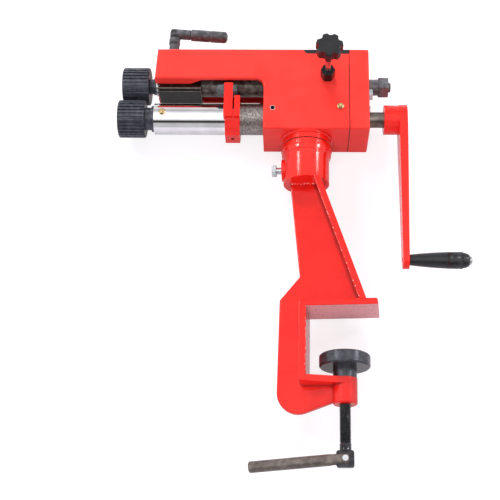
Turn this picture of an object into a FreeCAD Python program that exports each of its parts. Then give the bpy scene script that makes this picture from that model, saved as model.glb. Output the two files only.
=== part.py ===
import FreeCAD, Part
import math
import os

os.makedirs("parts", exist_ok=True)

V = FreeCAD.Vector
AXIS_X = V(1, 0, 0)
AXIS_Y = V(0, 1, 0)
AXIS_Z = V(0, 0, 1)

# Bead roller: a geared head on a swivel post, over a bench clamp.
# Lengths are millimetres and angles degrees. The pieces are drawn with the post axis at x = y = 0
# and the underside of the bench jaw at z = 0. The crank side is +x and the front is -y.
# The stand is drawn in the same axes, then turned about the post.

# Fits and clearances
running_fit = 0.05        # radial, between pieces that turn or slide on each other
seat_fit = 0.02           # radial, between pieces that are fixed together
face_gap = 0.3            # between faces that pass each other
overcut = 1.0             # how far a cutter runs past the face that it opens
bite = 1.0                # how far two solids of one piece run into each other
edge_break = 1.0          # chamfer on turned edges
probe = 0.1               # slack when edges are picked by their place

# Stand
stand_turn = -6.0
jaw_thickness = 9.5
jaw_front = 104.0         # end of the upper jaw, from the post axis
flange_width = 65.0
back_flange_left = -7.5
back_flange_thickness = 10.7
lower_flange_top = -99.0
lower_flange_thickness = 9.0
flange_tip_width = 35.0
web_thickness = 10.0
column_flange_thickness = 10.0
column_top_left = -23.7
column_top_right = 23.2
column_foot_right = 88.0
column_waist_left = -8.8
column_waist_height = 53.0
spine_top_left = -37.5
spine_top_height = 18.0
spine_left = -40.0
spine_corner_radius = 30.0
spine_corner_height = -118.0
spine_slope = 20.0
clamp_reach = 55.0        # screw axis, from the post axis
clamp_boss_radius = 17.4
clamp_boss_length = 36.5
column_top_inset = 2.0
stand_round = 1.8
rim_round = 5.0
jaw_end_round = 4.0

# Swivel socket and post
socket_bottom = 201.7
socket_height = 61.3
socket_radius = 34.3
socket_bore_radius = 27.0
socket_floor = 6.3
socket_rim_radius = 37.5
socket_rim_height = 13.0
socket_rim_cone = 10.0
collar_radius = 37.6
collar_height = 12.5
post_bottom_gap = 2.0
lock_bolt_height = 24.7   # above the socket's bottom
lock_bolt_radius = 5.0
lock_bolt_flats = 17.0
lock_bolt_head = 6.8
lock_bolt_standout = 8.7
lock_boss_radius = 17.0
lock_boss_reach = 36.5    # outer face, from the post axis

# Bench clamp screw
pad_radius = 36.0
pad_thickness = 18.0
pad_neck_radius = 16.75
pad_neck_height = 15.9
pad_cap = 3.4
clamp_screw_radius = 8.0
clamp_screw_length = 131.0
screw_break = 1.5
handle_radius = 8.0
clamp_overhang = 5.1      # fork's end, past the pin
handle_chamfer = 2.0
tongue_thickness = 8.0
tongue_side = 0.3         # gap between the tongue and each cheek
clamp_eye_left = 12.5
clamp_eye_right = 11.8
clamp_eye_round = 3.5
press_eye_reach = 7.3
fork_flats = 6.5          # half thickness of the fork's milled cheeks
tongue_shoulder = 9.8     # pin axis to the shoulder of the screw
pin_radius = 4.0
clamp_handle_length = 138.3
clamp_handle_tilt = 5.0
clamp_fork_depth = 20.0
clamp_flat_length = 28.2
groove_depth = 1.2
groove_width = 2.6

# Head casting
head_depth = 80.0
head_height = 137.5
housing_left = -66.0
housing_right = 64.0
housing_left_wall = 20.0
housing_right_wall = 18.0
housing_side_wall = 9.0
housing_floor = 9.0
housing_roof = 14.0
casting_round = 3.0
arm_length = 167.0
arm_height = 52.0
arm_roof = 10.0
arm_wall = 6.0
arm_haunch_length = 9.0
arm_haunch_drop = 13.5
haunch_round = 0.32       # how near the rounded haunch comes to a square corner
arm_rake = 2.5            # the nose leans back to its top
guide_length = 54.0       # thick walls beside the bearing block
guide_slant = 18.0
guide_clearance = 0.3
cover_length = 30.0
cover_wall = 10.0
seam_width = 1.0            # groove round the joint of housing and cover
seam_depth = 0.9
top_cover_length = 69.0
top_cover_thickness = 8.5
top_cover_round = 7.0
cover_bolt_radius = 5.0
cover_bolt_flats = 16.0
cover_bolt_head = 5.4
cover_bolt_offset = 25.0
cover_bolt_floor = 4.0
cover_bolt_height = 66.0
top_screw_radius = 2.5
top_screw_head_radius = 4.5
top_screw_head = 5.0
top_screw_inset = 12.0

# Shafts
lower_shaft_height = 36.0  # above the head's underside
shaft_centres = 57.0
shaft_radius = 10.0
crank_shaft_radius = 12.0
lower_tube_radius = 24.0
lower_tube_bore_radius = 20.0
lower_tube_left = -233.7
lower_bush_length = 25.0
upper_tube_radius = 15.5
upper_tube_bore_radius = 11.0
upper_tube_right = 44.0
upper_lift = 8.0           # height that the screw end of the block rises
tube_passage = 1.0
block_left = -228.0
block_length = 65.0
block_width = 45.0
block_height = 38.0
block_chamfer = 4.0
front_bush_radius = 14.0
front_bush_length = 36.0
tube_socket_depth = 10.0
ball_radius = 17.0
ball_half_width = 6.0
ball_centre_x = 89.0
shaft_tail_radius = 7.5
rear_nut_neck_radius = 12.5
rear_nut_neck = 15.0
rear_nut_flats = 30.0
rear_nut_hex = 15.0
shaft_tail = 4.0

# Gears
gear_module = 2.0
gear_teeth = 28
gear_width = 16.0
gear_left_gap = 2.0
gear_tooth_slack = 0.35
gear_case_gap = 1.0
rear_bush_radius = 16.5
cover_bush_radius = 16.0

# Knurled rolls
roll_radius = 29.0
roll_width = 41.4
roll_ridges = 30
ridge_depth = 2.2
ridge_tip = 2.3
ridge_foot = 3.5
roll_round = 2.5
roll_recess_radius = 13.0
roll_recess_depth = 5.0
upper_roll_right = -243.5
lower_roll_right = -247.7
lower_hub_radius = 17.3
lower_hub_length = 9.7
lower_washer_radius = 20.0
upper_hub_radius = 11.5
upper_hub_length = 5.5
upper_ring_radius = 13.0
upper_washer_radius = 15.0
upper_washer_thickness = 3.0
upper_inner_ring = 2.0
roll_seat_radius = 8.0
roll_screw_radius = 4.0
roll_screw_depth = 18.0
roll_screw_head_radius = 6.5
roll_screw_head = 4.0
roll_screw_flange = 1.5
roll_screw_key = 6.0
roll_screw_play = 1.5
socket_key_depth = 4.0

# Crank and grip
crank_gap = 23.5           # cover to the crank's boss
crank_boss_radius = 22.5
crank_boss_length = 22.5
crank_arm_thickness = 12.5
crank_arm_thinning = 3.0
crank_hub_radius = 23.5
crank_tip_radius = 13.5
crank_throw = 229.5
crank_shaft_end_gap = 2.0
crank_screw_key = 4.0
crank_end_steps = 24
crank_screw_radius = 4.0
grip_gap = 0.5
grip_length = 86.6
grip_root_radius = 8.0
grip_swell_radius = 12.3
grip_steps = 8
grip_swell_at = 0.78
grip_end_round = 5.0
grip_bore_radius = 4.5
spindle_head_radius = 6.5
spindle_head = 3.7

# Press lever over the nose
press_x = -210.0
press_foot_radius = 10.0
press_foot_thickness = 5.0
press_foot_gap = 0.1
press_shank = 31.5         # above the arm, to the knuckle
press_knuckle_radius = 8.8
press_knuckle = 10.5
press_overhang = 7.0
press_handle_length = 91.0
press_sleeve_radius = 9.2
press_end_round = 4.5
press_handle_tilt = 4.6
press_fork_depth = 14.0
press_grooves = (25.5, 56.4)

# Lock of the upper shaft on the front
lock_x = 31.0
lock_drop = 3.0            # below the upper shaft's axis
lock_bush_flats = 19.0
lock_bush_hex = 18.0
lock_bush_spigot_radius = 7.0
lock_bush_spigot = 16.0
lock_stud_radius = 4.0
lock_stud_inner = 12.0     # stud's end, inside the housing's front
lock_stud_grip = 20.0
knob_standout = 58.0       # housing to the knob's hub
knob_radius = 20.0
knob_lobes = 7
knob_lobe_turn = 110.7
knob_valley_radius = 5.5
knob_valley_centre = 20.9
knob_length = 30.5
knob_hub_radius = 8.0
knob_hub = 12.0
knob_round = 2.0

# Oilers and grub screw
oiler_radius = 5.2
oiler_standout = 3.0
oiler_stem_radius = 3.0
oiler_stem = 6.0
front_oiler_x = 50.3
front_oiler_rise = 38.0
tube_oiler_x = -220.5
tube_oiler_seat = 0.6
grub_x = -51.9
grub_rise = 35.0
grub_radius = 4.0
grub_recess = 1.5

# Sheet gauge on the lower tube
gauge_left = -124.0
gauge_width = 22.5
gauge_radius = 33.4
gauge_flat_drop = 34.0
gauge_flat_width = 26.0
gauge_slot_width = 2.5
gauge_lug_left = -126.0
gauge_lug_thickness = 13.5
gauge_lug_front = -38.0
gauge_lug_back = -25.0
gauge_lug_drop = 14.0
gauge_lug_rise = 43.0
gauge_ear_rise = 21.0
gauge_bolt_rise = 33.0
gauge_bolt_radius = 5.0
gauge_bolt_flats = 17.0
gauge_bolt_head = 6.4
gauge_bolt_washer_radius = 9.5
gauge_bolt_washer = 2.0
gauge_nut = 8.0
gauge_nut_tail = 2.0
gauge_screw_hole = 12.0
gauge_screw_radius = 3.0
gauge_screw_recess = 1.0

# Heights and places that follow
head_bottom = socket_bottom + socket_height + collar_height + 0.5
head_top = head_bottom + head_height
lower_axis = head_bottom + lower_shaft_height
upper_axis = lower_axis + shaft_centres
arm_left = housing_left - arm_length
arm_bottom = head_top - arm_height
cover_right = housing_right + cover_length
front_face = -head_depth / 2
block_right = block_left + block_length
block_top = upper_axis + block_height / 2
half_flange = flange_width / 2
half_web = web_thickness / 2
clamp_boss_top = lower_flange_top + 0.5
clamp_boss_bottom = clamp_boss_top - clamp_boss_length
pad_neck_top = clamp_boss_top + pad_neck_height
pad_top = pad_neck_top + pad_thickness
row_origin = V(clamp_reach * math.cos(math.radians(stand_turn)),
               clamp_reach * math.sin(math.radians(stand_turn)), 0)


# Small tools
def rod(radius, start, length, axis):
    return Part.makeCylinder(radius, length, start, axis)


def block(x0, x1, y0, y1, z0, z1):
    return Part.makeBox(x1 - x0, y1 - y0, z1 - z0, V(x0, y0, z0))


def turned(profile, start, axis):
    """Solid of revolution from (distance along the axis, radius) points."""
    points = [V(radius, 0, along) for along, radius in profile]
    face = Part.Face(Part.makePolygon(points + [points[0]]))
    solid = face.revolve(V(0, 0, 0), AXIS_Z, 360)
    solid.Placement = FreeCAD.Placement(start, FreeCAD.Rotation(AXIS_Z, axis))
    return solid


def sheet_xz(points, y0, y1):
    """Prism from (x, z) points, between two y planes."""
    corners = [V(x, y0, z) for x, z in points]
    face = Part.Face(Part.makePolygon(corners + [corners[0]]))
    return face.extrude(V(0, y1 - y0, 0))


def sheet_xy(points, z0, z1):
    """Prism from (x, y) points, between two heights."""
    corners = [V(x, y, z0) for x, y in points]
    face = Part.Face(Part.makePolygon(corners + [corners[0]]))
    return face.extrude(V(0, 0, z1 - z0))


def hexagon(flats, start, length, axis, turn=0):
    """Hexagonal prism along an axis, with its corners lightly turned down."""
    corner = flats / math.sqrt(3)
    angles = [math.radians(60 * i + turn) for i in range(6)]
    points = [V(corner * math.cos(a), corner * math.sin(a), 0) for a in angles]
    prism = Part.Face(Part.makePolygon(points + [points[0]])).extrude(V(0, 0, length))
    edge = (corner - flats / 2) * 0.8
    barrel = turned([(0, 0), (0, corner - edge), (edge * 0.6, corner), (length - edge * 0.6, corner),
                     (length, corner - edge), (length, 0)], V(0, 0, 0), AXIS_Z)
    prism = prism.common(barrel)
    prism.Placement = FreeCAD.Placement(start, FreeCAD.Rotation(AXIS_Z, axis))
    return prism


def joined(*shapes):
    return shapes[0].multiFuse(list(shapes[1:])).removeSplitter()


def rounded(shape, radius, chosen):
    """Fillet the edges that the test picks."""
    return shape.makeFillet(radius, [edge for edge in shape.Edges if chosen(edge)])


def save(name, shape):
    placed = shape.copy()
    placed.translate(row_origin * -1)
    placed.exportStep(f"parts/{name}.step")


def save_stand(name, shape):
    placed = shape.copy()
    placed.rotate(V(0, 0, 0), AXIS_Z, stand_turn)
    save(name, placed)


# Stand: web, column flange, clamp rim and boss, one casting
def spans_y(edge):
    return edge.BoundBox.YLength > web_thickness + probe


def web_plate():
    """Flat web, its free edges rounded: socket to waist, spine, round heel and slope to the boss."""
    slope = math.radians(spine_slope)
    heel = V(spine_left + spine_corner_radius, -half_web, spine_corner_height)
    boss_left = clamp_reach - clamp_boss_radius + 2 * bite
    heel_end = heel + V(math.sin(slope), 0, -math.cos(slope)) * spine_corner_radius
    heel_middle = heel + V(math.cos(math.radians(225 + spine_slope / 2)), 0,
                           math.sin(math.radians(225 + spine_slope / 2))) * spine_corner_radius
    boss_foot = V(boss_left, -half_web, heel_end.z + (boss_left - heel_end.x) * math.tan(slope))
    corners = [boss_foot, V(boss_left, -half_web, lower_flange_top - bite),
               V(back_flange_left + 2 * bite, -half_web, lower_flange_top - bite),
               V(back_flange_left + 2 * bite, -half_web, 2 * bite),
               V(column_foot_right - column_flange_thickness, -half_web, jaw_thickness - bite),
               V(column_top_right - 2 * bite, -half_web, socket_bottom),
               V(column_top_left, -half_web, socket_bottom),
               V(column_waist_left, -half_web, column_waist_height),
               V(spine_top_left, -half_web, spine_top_height),
               V(spine_left, -half_web, spine_corner_height)]
    edges = Part.makePolygon([heel_end] + corners).Edges
    edges.append(Part.Arc(corners[-1], heel_middle, heel_end).toShape())
    web = Part.Face(Part.Wire(edges)).extrude(V(0, web_thickness, 0))

    def free(edge):
        centre = edge.BoundBox.Center
        low = centre.z < lower_flange_top - 2 * lower_flange_thickness
        along_face = edge.BoundBox.YLength < probe
        return along_face and (centre.x < back_flange_left - rim_round / 2 or low)
    return rounded(web, stand_round, free)


def column_flange():
    """Sloping flange of the column, narrower under the socket."""
    inner = column_foot_right - column_flange_thickness
    plate = sheet_xz([(column_top_right - column_flange_thickness, socket_bottom),
                      (column_top_right, socket_bottom), (column_foot_right, jaw_thickness - bite),
                      (inner, jaw_thickness - bite)], -half_flange, half_flange)
    half_top = socket_radius - column_top_inset
    taper = Part.makePolygon([V(0, -half_top, socket_bottom), V(0, half_top, socket_bottom),
                              V(0, half_flange, 0), V(0, -half_flange, 0),
                              V(0, -half_top, socket_bottom)])
    plate = plate.common(Part.Face(taper).extrude(V(column_foot_right + bite, 0, 0)))
    return rounded(plate, stand_round, lambda edge: edge.BoundBox.ZLength > socket_bottom / 2)


def clamp_rim():
    """Jaw plate, back and lower flange in one bent strip; the lower flange narrows to the boss."""
    inner = back_flange_left + back_flange_thickness
    bottom = lower_flange_top - lower_flange_thickness
    strip = sheet_xz([(jaw_front, 0), (jaw_front, jaw_thickness), (back_flange_left, jaw_thickness),
                      (back_flange_left, bottom), (clamp_reach, bottom), (clamp_reach, lower_flange_top),
                      (inner, lower_flange_top), (inner, 0)], -half_flange, half_flange)

    def end_edge(edge):
        box = edge.BoundBox
        return spans_y(edge) and box.XMin > jaw_front - probe and box.ZMin > jaw_thickness - probe

    def side_edge(edge):
        return edge.BoundBox.YLength < probe and abs(edge.BoundBox.Center.y) > half_flange - probe
    strip = rounded(strip, rim_round,
                    lambda edge: spans_y(edge) and edge.BoundBox.XMax < back_flange_left + probe)
    strip = rounded(strip, jaw_end_round, end_edge)
    strip = rounded(strip, stand_round, side_edge)
    half_tip = flange_tip_width / 2
    for side in (1, -1):
        outside = side * (half_flange + overcut)
        strip = strip.cut(sheet_xy([(inner, side * half_flange), (clamp_reach, side * half_tip),
                                    (clamp_reach + overcut, side * half_tip),
                                    (clamp_reach + overcut, outside),
                                    (inner, outside)], bottom - overcut, lower_flange_top + overcut))
    return strip


def stand_frame():
    boss = turned([(0, 0), (0, clamp_boss_radius - stand_round), (stand_round, clamp_boss_radius),
                   (clamp_boss_length, clamp_boss_radius), (clamp_boss_length, 0)],
                  V(clamp_reach, 0, clamp_boss_bottom), AXIS_Z)
    thread = rod(clamp_screw_radius + running_fit, V(clamp_reach, 0, clamp_boss_bottom - overcut),
                 clamp_boss_length + 2 * overcut, AXIS_Z)
    return joined(web_plate(), column_flange(), clamp_rim(), boss).cut(thread)


# Socket tube with its rim and lock boss
def socket_tube():
    top = socket_bottom + socket_height
    profile = [(0, 0), (0, socket_radius),
               (socket_height - socket_rim_height - socket_rim_cone, socket_radius),
               (socket_height - socket_rim_height, socket_rim_radius),
               (socket_height, socket_rim_radius), (socket_height, socket_bore_radius + 1.5),
               (socket_height - 1.5, socket_bore_radius), (socket_floor, socket_bore_radius),
               (socket_floor, 0)]
    tube = turned(profile, V(0, 0, socket_bottom), AXIS_Z)
    height = socket_bottom + lock_bolt_height
    boss = rod(lock_boss_radius, V(-lock_boss_reach, 0, height), lock_boss_reach, AXIS_X)
    inside = rod(socket_bore_radius, V(0, 0, socket_bottom + socket_floor), top, AXIS_Z)
    hole = rod(lock_bolt_radius + seat_fit, V(-lock_boss_reach - overcut, 0, height),
               lock_boss_reach + overcut, AXIS_X)
    return joined(tube, boss.cut(inside)).cut(hole)


def lock_bolt():
    height = socket_bottom + lock_bolt_height
    seat = -lock_boss_reach - lock_bolt_standout
    head = hexagon(lock_bolt_flats, V(seat - lock_bolt_head, 0, height), lock_bolt_head, AXIS_X)
    tip = -(socket_bore_radius - running_fit) - face_gap
    return joined(head, rod(lock_bolt_radius, V(seat, 0, height), tip - seat, AXIS_X))


# Clamp screw, pad and folding handle
def clamp_pad():
    bore_top = pad_top - pad_cap
    pad = turned([(0, 0), (0, pad_neck_radius), (pad_neck_height, pad_neck_radius),
                  (pad_neck_height, pad_radius - 2 * edge_break),
                  (pad_neck_height + 2 * edge_break, pad_radius),
                  (pad_neck_height + pad_thickness - 2 * edge_break, pad_radius),
                  (pad_neck_height + pad_thickness, pad_radius - 2 * edge_break),
                  (pad_neck_height + pad_thickness, 0)],
                 V(clamp_reach, 0, clamp_boss_top), AXIS_Z)
    bore = rod(clamp_screw_radius + running_fit, V(clamp_reach, 0, clamp_boss_top - overcut),
               bore_top - clamp_boss_top + overcut, AXIS_Z)
    return pad.cut(bore)


clamp_screw_top = pad_top - pad_cap - face_gap
clamp_shoulder = clamp_screw_top - clamp_screw_length
clamp_pin_height = clamp_shoulder - tongue_shoulder


def clamp_eye(pin_at):
    """Flat eye with rounded corners under the clamp screw's shoulder."""
    half = tongue_thickness / 2
    eye = block(pin_at.x - clamp_eye_left, pin_at.x + clamp_eye_right, -half, half,
                pin_at.z - clamp_eye_left, clamp_shoulder + bite)

    def corner(edge):
        box = edge.BoundBox
        return box.YLength > tongue_thickness - probe
    return rounded(eye, clamp_eye_round, corner)


def press_eye(pin_at):
    """Round eye that hides between the handle's cheeks, above the press screw's knuckle."""
    start = pin_at - AXIS_Y * tongue_thickness / 2
    eye = rod(press_eye_reach, start, tongue_thickness, AXIS_Y)
    return joined(eye, block(pin_at.x - press_eye_reach, pin_at.x + press_eye_reach,
                             start.y, -start.y, press_shoulder - 2 * bite, pin_at.z))


def pin_hole(pin_at):
    return rod(pin_radius + seat_fit, pin_at - AXIS_Y * tongue_thickness, 2 * tongue_thickness, AXIS_Y)


def clamp_screw():
    pin_at = V(clamp_reach, 0, clamp_pin_height)
    shank = turned([(0, 0), (0, clamp_screw_radius),
                    (clamp_screw_length - screw_break, clamp_screw_radius),
                    (clamp_screw_length, clamp_screw_radius - screw_break), (clamp_screw_length, 0)],
                   V(clamp_reach, 0, clamp_shoulder), AXIS_Z)
    return joined(shank, clamp_eye(pin_at)).cut(pin_hole(pin_at))


def cross_pin(pin_at, half_length):
    return rod(pin_radius, pin_at - AXIS_Y * half_length, 2 * half_length, AXIS_Y)


def handle_bar(overhang, length):
    """Outline of a round handle as (distance from the pin, radius) points."""
    end = length - overhang
    return [(-overhang, 0), (-overhang, handle_radius - handle_chamfer),
            (-overhang + handle_chamfer, handle_radius), (end - handle_chamfer, handle_radius),
            (end, handle_radius - handle_chamfer), (end, 0)]


def fork_slot(pin_at, direction, overhang, depth, half_slot):
    near = pin_at.x - direction * (overhang + overcut)
    far = pin_at.x + direction * depth
    return block(min(near, far), max(near, far), -half_slot, half_slot,
                 pin_at.z - 2 * handle_radius, pin_at.z + 2 * handle_radius)


def clamp_handle(pin_at):
    """Round bar to the left, with a fork whose cheeks are milled flat."""
    bar = turned(handle_bar(clamp_overhang, clamp_handle_length), pin_at, AXIS_X * -1)
    slot = fork_slot(pin_at, -1, clamp_overhang, clamp_fork_depth, tongue_thickness / 2 + tongue_side)
    outside = fork_slot(pin_at, -1, clamp_overhang, clamp_flat_length, 2 * handle_radius)
    inside = fork_slot(pin_at, -1, clamp_overhang + overcut, clamp_flat_length + overcut, fork_flats)
    hole = rod(pin_radius + running_fit, pin_at - AXIS_Y * 2 * handle_radius, 4 * handle_radius, AXIS_Y)
    handle = bar.cut([slot, outside.cut(inside), hole])
    handle.rotate(pin_at, AXIS_Y, -clamp_handle_tilt)
    return handle


def press_handle(pin_at):
    """Handle to the right: a fork closed over the eye, then a thicker sleeve in two lengths."""
    end = press_handle_length - press_overhang
    first, second = press_grooves
    half = groove_width / 2
    sleeve = press_sleeve_radius
    profile = [(-press_overhang, 0), (-press_overhang, handle_radius - handle_chamfer),
               (-press_overhang + handle_chamfer, handle_radius), (first - half, handle_radius),
               (first, handle_radius - groove_depth), (first + half, sleeve),
               (second - half, sleeve), (second, sleeve - groove_depth), (second + half, sleeve),
               (end - press_end_round, sleeve), (end - press_end_round / 3, sleeve - press_end_round / 3),
               (end, sleeve - press_end_round), (end, 0)]
    bar = turned(profile, pin_at, AXIS_X)
    slot = fork_slot(pin_at, 1, press_overhang, press_fork_depth, tongue_thickness / 2 + tongue_side)
    hole = rod(pin_radius + running_fit, pin_at - AXIS_Y * 2 * handle_radius, 4 * handle_radius, AXIS_Y)
    handle = bar.cut([slot, hole])
    handle.rotate(pin_at, AXIS_Y, press_handle_tilt)
    return handle


# Head casting, its covers and what is let into it
def head_outline():
    casting = sheet_xz([(housing_left, head_bottom), (housing_right, head_bottom),
                        (housing_right, head_top), (arm_left + arm_rake, head_top),
                        (arm_left, arm_bottom), (housing_left - arm_haunch_length, arm_bottom),
                        (housing_left - arm_haunch_length * haunch_round,
                         arm_bottom - arm_haunch_drop * haunch_round),
                        (housing_left, arm_bottom - arm_haunch_drop)], front_face, -front_face)

    def outer(edge):
        low = edge.BoundBox
        flat = low.YMax - low.YMin < 0.01
        return flat and low.XMin < housing_right - 0.01
    return rounded(casting, casting_round, outer)


def top_cover_block():
    left = housing_right - top_cover_length
    low = head_top - top_cover_thickness
    plate = block(left, housing_right, front_face, -front_face, low, head_top)

    def corner(edge):
        box = edge.BoundBox
        return box.XMax < left + probe and box.ZMax < low + probe
    return rounded(plate, top_cover_round, corner)


def top_screw_places():
    inset = top_screw_inset
    left = housing_right - top_cover_length + inset
    return [V(x, y, head_top) for x in (left, housing_right - inset)
            for y in (front_face + inset, -front_face - inset)]


def lifted_hole(radius, x, length):
    """Hole along x that leaves room for the upper shaft's rise at that place."""
    rise = upper_lift * (ball_centre_x - x) / (ball_centre_x - press_x)
    low = rod(radius, V(x, 0, upper_axis), length, AXIS_X)
    high = rod(radius, V(x, 0, upper_axis + rise), length, AXIS_X)
    middle = block(x, x + length, -radius, radius, upper_axis, upper_axis + rise)
    return joined(low, high, middle)


def arm_pocket():
    half_guide = block_width / 2 + guide_clearance
    half_room = -front_face - arm_wall
    guide_end = arm_left + guide_length
    left = arm_left - 5
    outline = [(left, -half_guide), (guide_end, -half_guide), (guide_end + guide_slant, -half_room),
               (housing_left, -half_room), (housing_left, half_room),
               (guide_end + guide_slant, half_room), (guide_end, half_guide), (left, half_guide)]
    return sheet_xy(outline, arm_bottom - arm_haunch_drop - 5, head_top - arm_roof)


def seam():
    """Ring-shaped cut that breaks the edges where the housing and its cover meet."""
    outer = block(housing_right - seam_width / 2, housing_right + seam_width / 2,
                  front_face - overcut, overcut - front_face, head_bottom - overcut, head_top + overcut)
    return outer.cut(block(housing_right - seam_width, housing_right + seam_width,
                           front_face + seam_depth, -front_face - seam_depth,
                           head_bottom + seam_depth, head_top - seam_depth))


def bolt_places(x):
    height = head_bottom + cover_bolt_height
    return [V(x, -cover_bolt_offset, height), V(x, cover_bolt_offset, height)]


bolt_depth = cover_length + housing_right_wall - cover_bolt_floor


def main_body():
    cavity = block(housing_left + housing_left_wall, housing_right - housing_right_wall,
                   front_face + housing_side_wall, -front_face - housing_side_wall,
                   head_bottom + housing_floor, head_top - housing_roof)
    tube_bore = rod(lower_tube_radius + seat_fit, V(housing_left - overcut, 0, lower_axis),
                    housing_left_wall + overcut, AXIS_X)
    wall_at = housing_right - housing_right_wall
    bush_bore = rod(rear_bush_radius + seat_fit, V(wall_at - overcut, 0, lower_axis),
                    housing_right_wall + 2 * overcut, AXIS_X)
    tube_slot = lifted_hole(upper_tube_radius + tube_passage, housing_left - overcut,
                            housing_left_wall + 2 * overcut)
    shaft_slot = lifted_hole(shaft_radius + tube_passage, wall_at - overcut,
                             housing_right_wall + 2 * overcut)
    press_hole = rod(clamp_screw_radius + running_fit, V(press_x, 0, head_top - arm_roof - overcut),
                     arm_roof + 2 * overcut, AXIS_Z)
    lock_hole = rod(lock_bush_spigot_radius + seat_fit,
                    V(lock_x, front_face - overcut, upper_axis - lock_drop),
                    housing_side_wall + 2 * overcut, AXIS_Y)
    oil_hole = rod(oiler_stem_radius + seat_fit,
                   V(front_oiler_x, front_face - overcut, head_bottom + front_oiler_rise),
                   oiler_stem + 2 * overcut, AXIS_Y)
    grub_hole = rod(grub_radius + seat_fit, V(grub_x, front_face - overcut, head_bottom + grub_rise),
                    -front_face - lower_tube_radius + 2 * overcut, AXIS_Y)
    body = head_outline().cut([arm_pocket(), cavity, tube_bore, bush_bore, tube_slot, shaft_slot,
                               press_hole, lock_hole, oil_hole, grub_hole, top_cover_block(), seam()])
    threads = [rod(cover_bolt_radius + seat_fit, place, bolt_depth - cover_length + 1, AXIS_X)
               for place in bolt_places(housing_right - (bolt_depth - cover_length))]
    threads += [rod(top_screw_radius + seat_fit, place - AXIS_Z * (top_cover_thickness + 6), 10, AXIS_Z)
                for place in top_screw_places()]
    return body.cut(threads)


def end_cover():
    cover = block(housing_right, cover_right, front_face, -front_face, head_bottom, head_top)

    def outer(edge):
        return edge.BoundBox.XMax > housing_right + 0.01
    cover = rounded(cover, casting_round, outer)
    case_radius = gear_module * (gear_teeth / 2 + 1) + gear_case_gap
    depth = cover_length - cover_wall
    cases = [rod(case_radius, V(housing_right - overcut, 0, height), depth + overcut, AXIS_X)
             for height in (lower_axis, upper_axis)]
    bush_bore = rod(cover_bush_radius + seat_fit, V(housing_right, 0, lower_axis),
                    cover_length + overcut, AXIS_X)
    ball_seat = Part.makeSphere(ball_radius + running_fit, V(ball_centre_x, 0, upper_axis))
    holes = [rod(cover_bolt_radius + seat_fit, place, cover_length + 2 * overcut, AXIS_X)
             for place in bolt_places(housing_right - overcut)]
    return cover.cut(cases + [bush_bore, ball_seat, seam()] + holes)


def top_cover():
    plate = top_cover_block().common(head_outline()).cut(seam())
    for place in top_screw_places():
        plate = plate.cut(rod(top_screw_radius + seat_fit, place - AXIS_Z * top_cover_thickness,
                              top_cover_thickness, AXIS_Z))
        plate = plate.cut(rod(top_screw_head_radius + seat_fit, place - AXIS_Z * top_screw_head,
                              top_screw_head, AXIS_Z))
    return plate


def top_screws():
    screws = []
    for place in top_screw_places():
        head = rod(top_screw_head_radius, place - AXIS_Z * top_screw_head, top_screw_head - 0.4, AXIS_Z)
        stem = rod(top_screw_radius, place - AXIS_Z * (top_cover_thickness + 5),
                   top_cover_thickness + 5 - top_screw_head, AXIS_Z)
        socket = hexagon(4, place - AXIS_Z * 3, 4, AXIS_Z)
        screws.append(joined(head, stem).cut(socket))
    return Part.makeCompound(screws)


def cover_bolts():
    bolts = []
    for place in bolt_places(cover_right):
        shank = rod(cover_bolt_radius, place - AXIS_X * bolt_depth, bolt_depth, AXIS_X)
        bolts.append(joined(shank, hexagon(cover_bolt_flats, place, cover_bolt_head, AXIS_X)))
    return Part.makeCompound(bolts)


def swivel_post():
    top = head_bottom
    spigot_bottom = socket_bottom + socket_floor + post_bottom_gap
    spigot_radius = socket_bore_radius - running_fit
    collar = top - collar_height
    return turned([(0, 0), (0, spigot_radius - 2 * edge_break), (2 * edge_break, spigot_radius),
                   (collar - spigot_bottom, spigot_radius),
                   (collar - spigot_bottom, collar_radius - edge_break),
                   (collar - spigot_bottom + edge_break, collar_radius),
                   (top - spigot_bottom, collar_radius), (top - spigot_bottom, 0)],
                  V(0, 0, spigot_bottom), AXIS_Z)


def oiler(place):
    """Ball oiler facing the front: a domed flange on a short stem, with its ball sunk in."""
    shape = turned([(-oiler_stem, 0), (-oiler_stem, oiler_stem_radius), (0, oiler_stem_radius),
                    (0, oiler_radius), (oiler_standout * 0.5, oiler_radius),
                    (oiler_standout, oiler_radius * 0.7), (oiler_standout, 0)], place, AXIS_Y * -1)
    dimple = Part.makeSphere(oiler_radius * 0.4, place - AXIS_Y * (oiler_standout + 0.8))
    return shape.cut(dimple)


front_oiler_place = V(front_oiler_x, front_face, head_bottom + front_oiler_rise)
tube_oiler_place = V(tube_oiler_x, -lower_tube_radius + tube_oiler_seat, lower_axis)


def lower_tube():
    length = housing_left + housing_left_wall - lower_tube_left
    start = V(lower_tube_left, 0, lower_axis)
    tube = rod(lower_tube_radius, start, length, AXIS_X).cut(
        rod(lower_tube_bore_radius, start - AXIS_X * overcut, length + 2 * overcut, AXIS_X))
    seat = rod(oiler_radius, tube_oiler_place, 5, AXIS_Y * -1)
    hole = rod(oiler_stem_radius + seat_fit, tube_oiler_place, 4, AXIS_Y)
    return tube.cut([seat, hole])


def tube_oiler():
    stem = lower_tube_radius - tube_oiler_seat - lower_tube_bore_radius
    shape = oiler(tube_oiler_place)
    inside = block(tube_oiler_x - 20, tube_oiler_x + 20, tube_oiler_place.y + stem,
                   0, lower_axis - 20, lower_axis + 20)
    return shape.cut(inside)


def grub_screw():
    inner = -lower_tube_radius
    outer = front_face + grub_recess
    place = V(grub_x, outer, head_bottom + grub_rise)
    screw = rod(grub_radius, place, inner - outer - 0.3, AXIS_Y)
    return screw.cut(hexagon(4, place - AXIS_Y, 4, AXIS_Y))


# Lock of the upper shaft: bush, stud, knob and the plug that they press
lock_axis = upper_axis - lock_drop
stud_end = front_face + lock_stud_inner
knob_rear = front_face - knob_standout


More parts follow.
